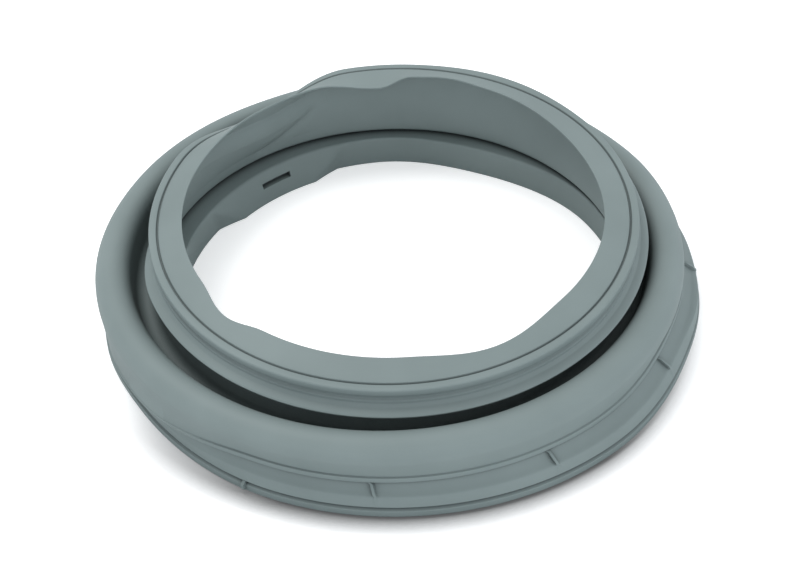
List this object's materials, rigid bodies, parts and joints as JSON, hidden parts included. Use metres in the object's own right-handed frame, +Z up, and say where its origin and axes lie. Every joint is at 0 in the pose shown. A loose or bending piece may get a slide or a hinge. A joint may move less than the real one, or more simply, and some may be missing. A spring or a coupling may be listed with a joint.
{
  "type": "washing machine door seal",
  "caption": "One-piece ring bellows of soft grey rubber that closes the gap between the door frame and the tub of a front-loading washing machine.",
  "frame": {"origin": "on the floor, at the centre of the tub ring that the seal lies on", "axes": "+Z up out of the door opening, -Y towards the front of the picture, +X to its right"},
  "size_m": [0.3943, 0.3928, 0.0817],
  "materials": {
    "rubber": "matte, slightly satin, greenish grey"
  },
  "bodies": {
    "root": {"door_seal": "rubber"}
  },
  "joints": []
}
